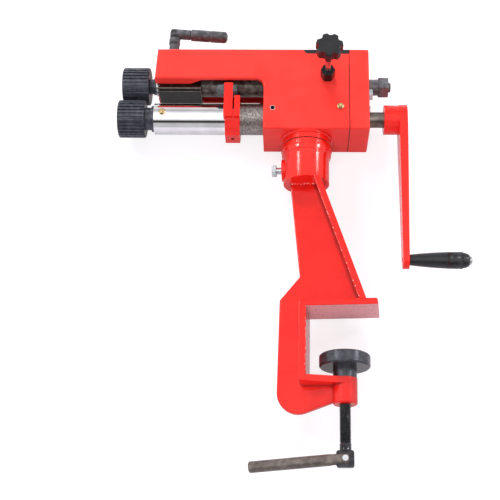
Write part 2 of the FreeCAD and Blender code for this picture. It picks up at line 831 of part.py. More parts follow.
def lock_bush():
    face = V(lock_x, front_face, lock_axis)
    shape = joined(hexagon(lock_bush_flats, face, lock_bush_hex, AXIS_Y * -1, 0),
                   rod(lock_bush_spigot_radius, face, lock_bush_spigot, AXIS_Y))
    bore = rod(lock_stud_radius + running_fit, face - AXIS_Y * (lock_bush_hex + overcut),
               lock_bush_hex + lock_bush_spigot + 2 * overcut, AXIS_Y)
    return shape.cut(bore)


def lock_plug():
    tip = -upper_tube_radius - face_gap
    return rod(lock_stud_radius, V(lock_x, stud_end + 0.1, lock_axis), tip - stud_end - 0.1, AXIS_Y)


def lock_stud():
    start = knob_rear - lock_stud_grip
    return rod(lock_stud_radius, V(lock_x, start, lock_axis), stud_end - start, AXIS_Y)


def star_knob():
    centre = V(lock_x, knob_rear, lock_axis)
    forward = AXIS_Y * -1
    head_start = centre + forward * knob_hub
    head_length = knob_length - knob_hub
    head = turned([(0, 0), (0, knob_radius - knob_round), (knob_round, knob_radius),
                   (head_length - knob_round, knob_radius), (head_length, knob_radius - knob_round),
                   (head_length + 0.6, 0)], head_start, forward)
    valleys = []
    for i in range(knob_lobes):
        angle = math.radians(knob_lobe_turn + 360 / knob_lobes * (i + 0.5))
        place = head_start + V(math.cos(angle), 0, math.sin(angle)) * knob_valley_centre
        valleys.append(rod(knob_valley_radius, place, head_length + overcut, forward))
    knob = joined(head.cut(valleys), rod(knob_hub_radius, centre, knob_hub + bite, forward))
    return knob.cut(rod(lock_stud_radius + seat_fit, centre, lock_stud_grip, forward))


# Gears: involute flanks, thinned for backlash
def involute(angle):
    return math.tan(angle) - angle


def gear(height, bore_radius, gap_up):
    """Spur gear about x. gap_up is half a tooth's turn that puts a gap on the pitch line."""
    pitch = gear_module * gear_teeth / 2
    pressure = math.radians(20)
    base = pitch * math.cos(pressure)
    root = pitch - 1.25 * gear_module
    tip = pitch + gear_module
    middle = (base + tip) / 2

    def half_angle(radius):
        flank = involute(pressure) - involute(math.acos(min(1, base / radius)))
        return math.pi / (2 * gear_teeth) + flank - gear_tooth_slack / (2 * radius)
    points = []
    for i in range(gear_teeth):
        tooth = 2 * math.pi * (i + gap_up) / gear_teeth
        rise = [(radius, half_angle(max(radius, base))) for radius in (root, base, middle, tip)]
        for radius, half in rise:
            points.append(polar_yz(radius, tooth - half, height))
        for radius, half in reversed(rise):
            points.append(polar_yz(radius, tooth + half, height))
    left = housing_right + gear_left_gap
    wheel = Part.Face(Part.makePolygon(points + [points[0]])).extrude(V(gear_width, 0, 0))
    wheel.translate(V(left, 0, 0))
    return wheel.cut(rod(bore_radius + seat_fit, V(left - overcut, 0, height),
                         gear_width + 2 * overcut, AXIS_X))


def polar_yz(radius, angle, height):
    """Point on a circle about x, with angle 0 at the top."""
    return V(0, radius * math.sin(angle), height + radius * math.cos(angle))


def lower_gear():
    return gear(lower_axis, crank_shaft_radius, 0)


def upper_gear():
    return gear(upper_axis, shaft_radius, 0.5 + gear_teeth / 2)


# Knurled rolls: a ridged rim with its corners rounded, a hub and a recess for the end screw
def roll(right, height, hub_radius, hub_length, gap_up):
    left = right - roll_width
    valley = roll_radius - ridge_depth
    points = []
    for i in range(roll_ridges):
        ridge = 2 * math.pi * (i + gap_up) / roll_ridges
        foot = ridge_foot / 2 / valley
        tip = ridge_tip / 2 / roll_radius
        for radius, angle in ((valley, ridge - foot), (roll_radius, ridge - tip),
                              (roll_radius, ridge + tip), (valley, ridge + foot)):
            points.append(polar_yz(radius, angle, height))
    rim = Part.Face(Part.makePolygon(points + [points[0]])).extrude(V(roll_width, 0, 0))
    rim.translate(V(left, 0, 0))
    arc = [math.pi / 2 * i / 3 for i in range(4)]
    near = [(roll_round * (1 - math.cos(a)), roll_radius - roll_round * (1 - math.sin(a))) for a in arc]
    far = [(roll_width - along, radius) for along, radius in reversed(near)]
    envelope = turned([(0, 0)] + near + far + [(roll_width, 0)], V(left, 0, height), AXIS_X)
    hub = rod(hub_radius, V(right - bite, 0, height), hub_length + bite, AXIS_X)
    bore = rod(roll_seat_radius + seat_fit, V(left - overcut, 0, height),
               roll_width + hub_length + 2 * overcut, AXIS_X)
    recess = rod(roll_recess_radius, V(left - overcut, 0, height), roll_recess_depth + overcut, AXIS_X)
    return joined(rim.common(envelope), hub).cut([bore, recess])


def roll_screw(right, height):
    """Flanged socket screw that holds a roll against its shaft."""
    seat = right - roll_width + roll_recess_depth
    flange_radius = roll_recess_radius - roll_screw_play
    end = -roll_screw_flange - roll_screw_head
    screw = turned([(end, 0), (end, roll_screw_head_radius),
                    (-roll_screw_flange, roll_screw_head_radius), (-roll_screw_flange, flange_radius),
                    (0, flange_radius), (0, roll_screw_radius),
                    (roll_screw_depth, roll_screw_radius), (roll_screw_depth, 0)],
                   V(seat, 0, height), AXIS_X)
    key = V(seat + end - overcut, 0, height)
    return screw.cut(hexagon(roll_screw_key, key, socket_key_depth, AXIS_X))


def lower_roll():
    return roll(lower_roll_right, lower_axis, lower_hub_radius, lower_hub_length, 0)


def upper_roll():
    return roll(upper_roll_right, upper_axis, upper_hub_radius, upper_hub_length, 0.5 + roll_ridges / 2)


# Lower shaft, from the roll to the crank
crank_left = cover_right + crank_gap
crank_face = crank_left + crank_boss_length


def shaft_seat(right):
    return right - roll_width + roll_recess_depth + 0.5


def tapped(shaft, start, height):
    return shaft.cut(rod(roll_screw_radius + seat_fit, V(start - overcut, 0, height),
                         roll_screw_depth + 2 * overcut, AXIS_X))


def lower_shaft():
    start = shaft_seat(lower_roll_right)
    shoulder = lower_roll_right + lower_hub_length - start
    step = housing_right - housing_right_wall - 2 - start
    end = crank_face - crank_shaft_end_gap - start
    shaft = turned([(0, 0), (0, roll_seat_radius), (shoulder, roll_seat_radius),
                    (shoulder, shaft_radius),
                    (step, shaft_radius), (step, crank_shaft_radius),
                    (end - edge_break, crank_shaft_radius),
                    (end, crank_shaft_radius - edge_break), (end, 0)], V(start, 0, lower_axis), AXIS_X)
    return tapped(shaft, start, lower_axis)


def ring(outer, inner, left, right, height):
    """Plain ring about x between two x places."""
    body = rod(outer, V(left, 0, height), right - left, AXIS_X)
    return body.cut(rod(inner, V(left - overcut, 0, height), right - left + 2 * overcut, AXIS_X))


def lower_washer():
    return ring(lower_washer_radius, shaft_radius + seat_fit, lower_roll_right + lower_hub_length,
                lower_tube_left - face_gap, lower_axis)


def lower_front_bush():
    return ring(lower_tube_bore_radius - seat_fit, shaft_radius + running_fit, lower_tube_left,
                lower_tube_left + lower_bush_length, lower_axis)


def lower_rear_bush():
    return ring(rear_bush_radius, crank_shaft_radius + running_fit, housing_right - housing_right_wall,
                housing_right, lower_axis)


def cover_bush():
    return ring(cover_bush_radius, crank_shaft_radius + running_fit, cover_right - cover_wall,
                cover_right, lower_axis)


# Upper shaft and the block, tube and ball bush that carry it
def bearing_block():
    half = block_width / 2
    blank = block(block_left, block_right, -half, half, block_top - block_height, block_top)

    def along(edge):
        box = edge.BoundBox
        return box.XLength > block_length - probe
    blank = blank.makeChamfer(block_chamfer, [edge for edge in blank.Edges if along(edge)])
    bush_bore = rod(front_bush_radius, V(block_left - overcut, 0, upper_axis),
                    front_bush_length + overcut, AXIS_X)
    shaft_bore = rod(upper_tube_bore_radius, V(block_left, 0, upper_axis), block_length, AXIS_X)
    tube_bore = rod(upper_tube_radius + seat_fit, V(block_right - tube_socket_depth, 0, upper_axis),
                    tube_socket_depth + overcut, AXIS_X)
    return blank.cut([bush_bore, shaft_bore, tube_bore])


def upper_front_bush():
    return ring(front_bush_radius - seat_fit, shaft_radius + running_fit, block_left,
                block_left + front_bush_length, upper_axis)


def upper_tube():
    return ring(upper_tube_radius, upper_tube_bore_radius, block_right - tube_socket_depth,
                upper_tube_right, upper_axis)


def upper_ball_bush():
    ball = Part.makeSphere(ball_radius, V(ball_centre_x, 0, upper_axis))
    slab = rod(2 * ball_radius, V(ball_centre_x - ball_half_width, 0, upper_axis),
               2 * ball_half_width, AXIS_X)
    bore = rod(shaft_radius + running_fit, V(ball_centre_x - ball_radius, 0, upper_axis),
               2 * ball_radius, AXIS_X)
    return ball.common(slab).cut(bore)


nut_left = ball_centre_x + ball_half_width + face_gap
nut_right = nut_left + rear_nut_neck + rear_nut_hex
ring_right = block_left - face_gap
washer_right = ring_right - upper_inner_ring
washer_left = washer_right - upper_washer_thickness


def upper_shaft():
    start = shaft_seat(upper_roll_right)
    shoulder = upper_roll_right + upper_hub_length - start
    step = nut_left - start
    end = nut_right + shaft_tail - start
    shaft = turned([(0, 0), (0, roll_seat_radius), (shoulder, roll_seat_radius),
                    (shoulder, shaft_radius),
                    (step, shaft_radius), (step, shaft_tail_radius),
                    (end - edge_break, shaft_tail_radius),
                    (end, shaft_tail_radius - edge_break), (end, 0)], V(start, 0, upper_axis), AXIS_X)
    return tapped(shaft, start, upper_axis)


def rear_nut():
    neck = rod(rear_nut_neck_radius, V(nut_left, 0, upper_axis), rear_nut_neck, AXIS_X)
    nut = joined(neck, hexagon(rear_nut_flats, V(nut_left + rear_nut_neck, 0, upper_axis),
                               rear_nut_hex, AXIS_X, 0))
    return nut.cut(rod(shaft_tail_radius + seat_fit, V(nut_left - overcut, 0, upper_axis),
                       rear_nut_neck + rear_nut_hex + 2 * overcut, AXIS_X))


def upper_rings():
    bore = shaft_radius + seat_fit
    outer = ring(upper_ring_radius, bore, upper_roll_right + upper_hub_length, washer_left, upper_axis)
    inner = ring(upper_ring_radius, bore, washer_right, ring_right, upper_axis)
    return Part.makeCompound([outer, inner])


def upper_washer():
    return ring(upper_washer_radius, shaft_radius + seat_fit, washer_left, washer_right, upper_axis)


# Crank, its set screw, and the grip on its spindle
grip_height = lower_axis - crank_throw
grip_left = crank_face + crank_arm_thickness - crank_arm_thinning + grip_gap


def crank_arm():
    """Tapered bar with round ends, its outer face cut back towards the grip, and a round boss."""
    slant = (crank_hub_radius - crank_tip_radius) / crank_throw
    points = []
    for radius, height, start, lean in ((crank_hub_radius, lower_axis, -math.pi / 2, slant),
                                        (crank_tip_radius, grip_height, math.pi / 2, -slant)):
        for i in range(crank_end_steps + 1):
            angle = start - lean + (math.pi + 2 * lean) * i / crank_end_steps
            points.append(polar_yz(radius, angle, height))
    plate = Part.Face(Part.makePolygon(points + [points[0]])).extrude(V(crank_arm_thickness, 0, 0))
    plate.translate(V(crank_face, 0, 0))
    outer = crank_face + crank_arm_thickness
    thin = outer - crank_arm_thinning
    beyond = outer + overcut
    width = 2 * crank_hub_radius
    wedge = sheet_xz([(outer, lower_axis - crank_hub_radius), (beyond, lower_axis - crank_hub_radius),
                      (beyond, grip_height - 2 * crank_tip_radius),
                      (thin, grip_height - 2 * crank_tip_radius), (thin, grip_height + crank_tip_radius)],
                     -width, width)
    boss = rod(crank_boss_radius, V(crank_left, 0, lower_axis), crank_boss_length + bite, AXIS_X)
    bore = rod(crank_shaft_radius + seat_fit, V(crank_left - overcut, 0, lower_axis),
               crank_boss_length - crank_shaft_end_gap + 2 * overcut, AXIS_X)
    spindle_hole = rod(grip_bore_radius + seat_fit, V(crank_left, 0, grip_height),
                       grip_left - crank_left, AXIS_X)
    return joined(plate.cut(wedge), boss).cut([bore, spindle_hole, crank_screw_hole()])


crank_screw_outer = crank_boss_radius - edge_break


def crank_screw_place(radius):
    return V(crank_left + crank_boss_length / 2, radius, lower_axis)


def crank_screw_hole():
    start = crank_boss_radius + 2 * overcut
    return rod(crank_screw_radius + seat_fit, crank_screw_place(start), start - bite, AXIS_Y * -1)


def crank_set_screw():
    place = crank_screw_place(crank_screw_outer)
    length = crank_screw_outer - crank_shaft_radius - face_gap
    screw = rod(crank_screw_radius, place, length, AXIS_Y * -1)
    return screw.cut(hexagon(crank_screw_key, place + AXIS_Y * overcut, socket_key_depth, AXIS_Y * -1))


def grip():
    """Handle that swells towards its outer end, turning on the spindle."""
    swell = grip_length * grip_swell_at
    profile = [(0, 0), (0, grip_root_radius - edge_break), (edge_break, grip_root_radius)]
    for i in range(1, grip_steps + 1):
        blend = math.sin(math.pi / 2 * i / grip_steps)
        profile.append((edge_break + (swell - edge_break) * i / grip_steps,
                        grip_root_radius + (grip_swell_radius - grip_root_radius) * blend))
    for i in range(1, grip_steps + 1):
        angle = math.pi / 2 * i / grip_steps
        along = swell + (grip_length - swell) * math.sin(angle)
        profile.append((along, grip_swell_radius - grip_end_round * (1 - math.cos(angle))))
    profile.append((grip_length, 0))
    handle = turned(profile, V(grip_left, 0, grip_height), AXIS_X)
    return handle.cut(rod(grip_bore_radius + running_fit, V(grip_left - overcut, 0, grip_height),
                          grip_length + 2 * overcut, AXIS_X))


def grip_spindle():
    start = crank_face + edge_break
    end = grip_left + grip_length + grip_gap - start
    crown = end + spindle_head
    return turned([(0, 0), (0, grip_bore_radius), (end, grip_bore_radius), (end, spindle_head_radius),
                   (end + spindle_head * 0.6, spindle_head_radius), (crown, spindle_head_radius * 0.6),
                   (crown, 0)], V(start, 0, grip_height), AXIS_X)


# Press screw over the bearing block, with its foot, pin and folding handle
press_shoulder = head_top + press_shank + press_knuckle
press_pin_height = press_shoulder + tongue_shoulder


def press_foot():
    foot_bottom = block_top + press_foot_gap
    return turned([(0, 0), (0, press_foot_radius - 1), (1, press_foot_radius),
                   (press_foot_thickness, press_foot_radius), (press_foot_thickness, 0)],
                  V(press_x, 0, foot_bottom), AXIS_Z)


def press_screw():
    bottom = block_top + press_foot_gap + press_foot_thickness
    knuckle = head_top + press_shank - bottom
    height = press_shoulder - bottom
    shank = turned([(0, 0), (0, clamp_screw_radius - 1), (1, clamp_screw_radius),
                    (knuckle, clamp_screw_radius), (knuckle, press_knuckle_radius - 0.8),
                    (knuckle + 0.8, press_knuckle_radius), (height - 0.8, press_knuckle_radius),
                    (height, press_knuckle_radius - 0.8), (height, 0)],
                   V(press_x, 0, bottom), AXIS_Z)
    pin_at = V(press_x, 0, press_pin_height)
    return joined(shank, press_eye(pin_at)).cut(pin_hole(pin_at))


# Sheet gauge: a split ring on the lower tube with a tall lug and a clamp bolt
def gauge_bracket():
    left = V(gauge_left, 0, lower_axis)
    body = rod(gauge_radius, left, gauge_width, AXIS_X)
    flat = lower_axis - gauge_flat_drop
    foot = block(gauge_left, gauge_left + gauge_width, -gauge_flat_width / 2, gauge_flat_width / 2,
                 flat, lower_axis - lower_tube_radius - overcut)
    lug_foot = lower_axis - gauge_lug_drop
    lug_right = gauge_lug_left + gauge_lug_thickness
    lug = block(gauge_lug_left, lug_right, gauge_lug_front, gauge_lug_back, lug_foot,
                lower_axis + gauge_lug_rise)
    ear = block(lug_right + gauge_slot_width, gauge_left + gauge_width, gauge_lug_front, gauge_lug_back,
                lug_foot, lower_axis + gauge_ear_rise)
    slot = block(lug_right, lug_right + gauge_slot_width, gauge_lug_front - overcut, gauge_lug_back / 2,
                 lower_axis, lower_axis + gauge_lug_rise + overcut)
    bore = rod(lower_tube_radius + running_fit, left - AXIS_X * gauge_width / 2, 2 * gauge_width, AXIS_X)
    bolt_hole = rod(gauge_bolt_radius + seat_fit, gauge_bolt_place() - AXIS_X * gauge_width,
                    2 * gauge_width, AXIS_X)
    screw_hole = rod(gauge_screw_radius + seat_fit, V(gauge_left + gauge_width / 2, 0, flat - overcut),
                     gauge_screw_hole, AXIS_Z)
    return joined(body, foot, lug, ear).cut([slot, bore, bolt_hole, screw_hole])


def gauge_bolt_place():
    """Seat of the bolt's head on the lug."""
    return V(gauge_lug_left + gauge_lug_thickness, (gauge_lug_front + gauge_lug_back) / 2,
             lower_axis + gauge_bolt_rise)


def gauge_bolt():
    seat = gauge_bolt_place()
    length = gauge_lug_thickness + gauge_bolt_washer + gauge_nut + gauge_nut_tail
    return joined(hexagon(gauge_bolt_flats, seat, gauge_bolt_head, AXIS_X),
                  rod(gauge_bolt_radius, seat - AXIS_X * length, length, AXIS_X))


def gauge_washer():
    seat = gauge_bolt_place() - AXIS_X * (gauge_lug_thickness + gauge_bolt_washer)
    washer = rod(gauge_bolt_washer_radius, seat, gauge_bolt_washer, AXIS_X)
    return washer.cut(rod(gauge_bolt_radius + seat_fit, seat - AXIS_X, gauge_bolt_washer + 2, AXIS_X))


def gauge_nut_piece():
    seat = gauge_bolt_place() - AXIS_X * (gauge_lug_thickness + gauge_bolt_washer + gauge_nut)
    nut = hexagon(gauge_bolt_flats, seat, gauge_nut, AXIS_X)
    return nut.cut(rod(gauge_bolt_radius + seat_fit, seat - AXIS_X, gauge_nut + 2, AXIS_X))


def gauge_set_screw():
    low = lower_axis - gauge_flat_drop + gauge_screw_recess
    high = lower_axis - lower_tube_radius - face_gap
    place = V(gauge_left + gauge_width / 2, 0, low)
    screw = rod(gauge_screw_radius, place, high - low, AXIS_Z)
    return screw.cut(hexagon(3, place - AXIS_Z, 3.5, AXIS_Z))


clamp_pin_place = V(clamp_reach, 0, clamp_pin_height)
press_pin_place = V(press_x, 0, press_pin_height)

stand_pieces = {
    "stand_frame": stand_frame(),
    "socket_tube": socket_tube(),
    "lock_bolt": lock_bolt(),
    "clamp_pad": clamp_pad(),
    "clamp_screw": clamp_screw(),
    "clamp_pin": cross_pin(clamp_pin_place, fork_flats),
    "clamp_handle": clamp_handle(clamp_pin_place),
}
head_pieces = {
    "main_body": main_body(),
    "end_cover": end_cover(),
    "top_cover": top_cover(),
    "top_screws": top_screws(),
    "cover_bolts": cover_bolts(),
    "swivel_post": swivel_post(),
    "lower_tube": lower_tube(),
    "front_oiler": oiler(front_oiler_place),
    "tube_oiler": tube_oiler(),
    "grub_screw": grub_screw(),
    "lower_front_bush": lower_front_bush(),
    "lower_rear_bush": lower_rear_bush(),
    "cover_bush": cover_bush(),
    "lock_bush": lock_bush(),
    "lock_plug": lock_plug(),
    "lock_stud": lock_stud(),
    "star_knob": star_knob(),
    "lower_shaft": lower_shaft(),
    "lower_gear": lower_gear(),
    "lower_roll": lower_roll(),
    "lower_roll_screw": roll_screw(lower_roll_right, lower_axis),
    "lower_washer": lower_washer(),
    "crank_arm": crank_arm(),
    "crank_set_screw": crank_set_screw(),
    "grip_spindle": grip_spindle(),
    "grip": grip(),
    "bearing_block": bearing_block(),
    "upper_front_bush": upper_front_bush(),
    "upper_tube": upper_tube(),
    "upper_ball_bush": upper_ball_bush(),
    "upper_shaft": upper_shaft(),
    "upper_gear": upper_gear(),
    "upper_roll": upper_roll(),
    "upper_roll_screw": roll_screw(upper_roll_right, upper_axis),
    "upper_rings": upper_rings(),
    "upper_washer": upper_washer(),
    "rear_nut": rear_nut(),
    "press_foot": press_foot(),
    "press_screw": press_screw(),
    "press_pin": cross_pin(press_pin_place, handle_radius * 0.8),
    "press_handle": press_handle(press_pin_place),
    "gauge_bracket": gauge_bracket(),
    "gauge_bolt": gauge_bolt(),
    "gauge_washer": gauge_washer(),
    "gauge_nut": gauge_nut_piece(),
    "gauge_set_screw": gauge_set_screw(),
}
for name, shape in stand_pieces.items():
    save_stand(name, shape)
for name, shape in head_pieces.items():
    save(name, shape)
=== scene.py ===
import math

import bmesh
import bpy
from mathutils import Matrix, Vector, noise


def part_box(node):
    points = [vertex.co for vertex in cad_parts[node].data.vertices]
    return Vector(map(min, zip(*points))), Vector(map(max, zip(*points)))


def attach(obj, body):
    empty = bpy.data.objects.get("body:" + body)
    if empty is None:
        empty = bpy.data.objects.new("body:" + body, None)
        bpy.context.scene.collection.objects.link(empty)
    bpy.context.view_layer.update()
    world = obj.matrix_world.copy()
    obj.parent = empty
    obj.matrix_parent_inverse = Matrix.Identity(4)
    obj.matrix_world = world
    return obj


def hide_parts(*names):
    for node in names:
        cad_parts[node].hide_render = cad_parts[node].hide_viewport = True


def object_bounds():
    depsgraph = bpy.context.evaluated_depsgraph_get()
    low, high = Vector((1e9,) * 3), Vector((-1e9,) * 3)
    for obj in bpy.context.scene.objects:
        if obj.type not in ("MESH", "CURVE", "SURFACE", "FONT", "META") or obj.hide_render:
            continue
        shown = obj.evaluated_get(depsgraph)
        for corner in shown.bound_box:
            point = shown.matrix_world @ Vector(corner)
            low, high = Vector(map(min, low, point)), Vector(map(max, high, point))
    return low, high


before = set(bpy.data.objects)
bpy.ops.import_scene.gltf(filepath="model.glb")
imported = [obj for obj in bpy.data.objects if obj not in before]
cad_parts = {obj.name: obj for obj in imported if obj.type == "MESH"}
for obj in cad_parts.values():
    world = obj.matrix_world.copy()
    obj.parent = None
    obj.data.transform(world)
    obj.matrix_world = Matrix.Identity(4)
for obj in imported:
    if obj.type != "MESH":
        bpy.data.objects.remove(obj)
cad_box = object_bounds()
MM = 0.001
FULL_TURN = 2 * math.pi
ON_EDGE = Matrix.Rotation(math.pi / 2, 3, "X")    # stands a flat outline on its edge


# The photograph's camera, from a fit to the straight edges of the head
FOCAL_PIXELS = 1096.2
PICTURE_PIXELS = 500
CAMERA_PLACE = Vector((-0.07505, -1.48555, -0.4997))
CAMERA_PITCH = math.radians(21.75)
CAMERA_YAW = math.radians(-2.37)
CAMERA_ROLL = math.radians(1.42)


def set_camera():
    data = bpy.data.cameras.new("camera")
    data.lens = FOCAL_PIXELS / PICTURE_PIXELS * data.sensor_width
    camera = bpy.data.objects.new("camera", data)
    bpy.context.collection.objects.link(camera)
    ahead = Vector((math.sin(CAMERA_YAW) * math.cos(CAMERA_PITCH),
                    math.cos(CAMERA_YAW) * math.cos(CAMERA_PITCH), math.sin(CAMERA_PITCH)))
    level = ahead.cross(Vector((0, 0, 1))).normalized()
    upright = level.cross(ahead)
    right = math.cos(CAMERA_ROLL) * level + math.sin(CAMERA_ROLL) * upright
    up = -math.sin(CAMERA_ROLL) * level + math.cos(CAMERA_ROLL) * upright
    turn = Matrix((right, up, -ahead)).transposed().to_4x4()
    camera.matrix_world = Matrix.Translation(CAMERA_PLACE) @ turn
    bpy.context.scene.camera = camera


# Node and colour tools
NOISE_LOW = 0.3     # nearly all values of a noise lie between these two
NOISE_HIGH = 0.7
MIX_LOW = 6         # a Mix node's colour sockets, which share their names with its other sockets
MIX_HIGH = 7
MIX_COLOUR = 2


def paint(hex_code):
    """Linear colour from an sRGB hex value."""
    parts = [int(hex_code[i:i + 2], 16) / 255 for i in (1, 3, 5)]
    return [c / 12.92 if c <= 0.04045 else ((c + 0.055) / 1.055) ** 2.4 for c in parts] + [1]


def add(tree, kind, inputs=None, **settings):
    """A node with its settings, and its inputs as values or links."""
    made = tree.nodes.new(kind)
    for key, value in settings.items():
        setattr(made, key, value)
    for key, value in (inputs or {}).items():
        if isinstance(value, bpy.types.NodeSocket):
            tree.links.new(value, made.inputs[key])
        else:
            made.inputs[key].default_value = value
    return made


def begin(name):
    """A new material and its empty tree."""
    material = bpy.data.materials.new(name)
    material.use_nodes = True
    material.node_tree.nodes.clear()
    return material, material.node_tree


def close(material, surface):
    add(material.node_tree, "ShaderNodeOutputMaterial", {"Surface": surface})
    return material


def speckle(tree, place, grain, detail=3, stretch=None):
    """Noise whose lumps are about grain millimetres across."""
    if stretch:
        place = add(tree, "ShaderNodeMapping", {"Vector": place, "Scale": stretch}).outputs["Vector"]
    return add(tree, "ShaderNodeTexNoise",
               {"Vector": place, "Scale": 1 / (grain * MM), "Detail": detail}).outputs["Fac"]


def blend(tree, factor, low, high, start=0.35, end=0.65):
    """Colour that goes from low to high as the factor goes from start to end."""
    ramp = add(tree, "ShaderNodeValToRGB", {"Fac": factor})
    ramp.color_ramp.elements[0].position = start
    ramp.color_ramp.elements[0].color = low
    ramp.color_ramp.elements[1].position = end
    ramp.color_ramp.elements[1].color = high
    return ramp.outputs["Color"]


def spread(tree, factor, low, high):
    """Number that goes from low to high with a noise."""
    return add(tree, "ShaderNodeMapRange", {"Value": factor, "From Min": NOISE_LOW, "From Max": NOISE_HIGH,
                                            "To Min": low, "To Max": high}).outputs["Result"]


def relief(tree, height, depth, normal=None):
    """Bump of a depth in millimetres."""
    inputs = {"Height": height, "Distance": depth * MM, "Strength": 1.0}
    if normal:
        inputs["Normal"] = normal
    return add(tree, "ShaderNodeBump", inputs).outputs["Normal"]


def place_of(tree):
    return add(tree, "ShaderNodeTexCoord").outputs["Object"]


# Finishes, with lengths in millimetres. Tool rings, the tooth of the steels and the nylon's spark texture
# are finer on the real machine, and are drawn as coarse as they need to be to show in a picture
RED_PATCH = 38        # width of the patches in which an enamel's red changes
GLOSS_PATCH = 14      # width of the patches in which its gloss changes
GLOSS_CHANGE = 0.1
TOOTH_CHANGE = 0.12   # how much rougher a steel gets from spot to spot
COVER_JOINT = ("X", 9.301, 0.62)    # axis, place and half width of the dark line in two joints: painted shade of the gap, with dirt in it
SWIVEL_JOINT = ("Z", 263.2, 0.8)
CORNER_SHADE_REACH = 7.0    # how far from an inside corner the painted shade on the stand's enamel reaches
CORNER_RAYS = 8
CORNER_SHUT = 0.45    # how open a spot is where the painted shade is darkest, and where it ends
CORNER_OPEN = 0.85
SOLE_DEPTH = 0.4      # how near the jaw's underside the rubbed paint starts
FACING_DOWN = -0.9
DULL_FROM = -166.0    # the tube's dull length starts here and fades in
DULL_FADE = 12.0


def poured_enamel(name, fresh, deep, lump, lump_depth, rough, shine, joint=None):
    """Air-dried gloss enamel over a rough casting: nearly flat red, orange peel, gloss a little uneven."""
    material, tree = begin(name)
    place = place_of(tree)
    red = blend(tree, speckle(tree, place, RED_PATCH), paint(deep), paint(fresh), 0.25, 0.6)
    colour = joint_shade_and_dirt(tree, place, red, *joint) if joint else red
    peel = relief(tree, speckle(tree, place, grain=2.2, detail=2), depth=0.03)
    cast = relief(tree, speckle(tree, place, lump), lump_depth, peel)
    uneven = spread(tree, speckle(tree, place, GLOSS_PATCH), rough, rough + GLOSS_CHANGE)
    shader = add(tree, "ShaderNodeBsdfPrincipled",
                 {"Base Color": colour, "Roughness": uneven, "Specular IOR Level": shine, "Normal": cast})
    return close(material, shader.outputs["BSDF"])


def joint_shade_and_dirt(tree, place, red, axis, at, half):
    """Dark line in the joint of two castings, broken in a few spots: painted shade of the gap, with dirt in
    it.
    """
    along = add(tree, "ShaderNodeSeparateXYZ", {"Vector": place}).outputs[axis]
    groove = add(tree, "ShaderNodeMath", {0: along, 1: at * MM, 2: half * MM},
                 operation="COMPARE").outputs[0]
    # Painted shade and dirt: near-black red in a thin band on each side of the joint's plane
    shade_and_dirt = blend(tree, speckle(tree, place, grain=9), paint("#2A0C0B"), paint("#8E1612"), 0.5, 0.62)
    return add(tree, "ShaderNodeMix", {0: groove, MIX_LOW: red, MIX_HIGH: shade_and_dirt},
               data_type="RGBA").outputs[MIX_COLOUR]


def glint_spotted_enamel():
    """The stand's enamel over weld lumps and cut edges, with pale spots painted in as highlights where high
    spots would catch the light.
    """
    material, tree = begin("glint_spotted_enamel")
    place = place_of(tree)
    # Painted highlights: noise mixes pale pink-white #FFC9C2 spots into the red
    colour = blend(tree, speckle(tree, place, grain=2.6, detail=4), paint("#EE1A10"), paint("#FFC9C2"),
                   0.56, 0.64)
    lumps = relief(tree, speckle(tree, place, grain=2.2), depth=0.2)
    shader = add(tree, "ShaderNodeBsdfPrincipled",
                 {"Base Color": colour, "Roughness": 0.12, "Specular IOR Level": 0.5, "Normal": lumps})
    return close(material, shader.outputs["BSDF"])


def jaw_enamel():
    """The stand's enamel, with painted shade darkening its inside corners, and rubbed to chalky pink with
    specks under the jaw.
    """
    material, tree = begin("stand_enamel")
    place = place_of(tree)
    fresh = blend(tree, speckle(tree, place, RED_PATCH, detail=5), paint("#DC130B"), paint("#F21A0F"),
                  0.3, 0.6)
    # Painted shade: the red turns to dark #9A0D08 where ambient occlusion finds a spot closed in
    open_air = add(tree, "ShaderNodeAmbientOcclusion", {"Distance": CORNER_SHADE_REACH * MM},
                   samples=CORNER_RAYS).outputs["AO"]
    corner = add(tree, "ShaderNodeMapRange",
                 {"Value": open_air, "From Min": CORNER_SHUT, "From Max": CORNER_OPEN}).outputs["Result"]
    red = add(tree, "ShaderNodeMix", {0: corner, MIX_LOW: paint("#9A0D08"), MIX_HIGH: fresh},
              data_type="RGBA").outputs[MIX_COLOUR]
    height = add(tree, "ShaderNodeSeparateXYZ", {"Vector": place}).outputs["Z"]
    facing = add(tree, "ShaderNodeSeparateXYZ",
                 {"Vector": add(tree, "ShaderNodeNewGeometry").outputs["Normal"]}).outputs["Z"]
    down = add(tree, "ShaderNodeMath", {0: facing, 1: FACING_DOWN}, operation="LESS_THAN").outputs[0]
    near = add(tree, "ShaderNodeMath", {0: height, 1: 0.0, 2: SOLE_DEPTH * MM},
               operation="COMPARE").outputs[0]
    sole = add(tree, "ShaderNodeMath", {0: down, 1: near}, operation="MULTIPLY").outputs[0]
    worn = blend(tree, speckle(tree, place, grain=3.5, detail=4), paint("#F0949C"), paint("#7A3A42"),
                 0.62, 0.68)
    colour = add(tree, "ShaderNodeMix", {0: sole, MIX_LOW: red, MIX_HIGH: worn},
                 data_type="RGBA").outputs[MIX_COLOUR]
    lumps = speckle(tree, place, grain=5)
    peel = relief(tree, speckle(tree, place, grain=1.8, detail=2), depth=0.05)
    cast = relief(tree, lumps, 0.2, peel)
    uneven = spread(tree, speckle(tree, place, GLOSS_PATCH), 0.1, 0.18)
    shader = add(tree, "ShaderNodeBsdfPrincipled",
                 {"Base Color": colour, "Roughness": uneven, "Specular IOR Level": 0.45, "Normal": cast})
    return close(material, shader.outputs["BSDF"])


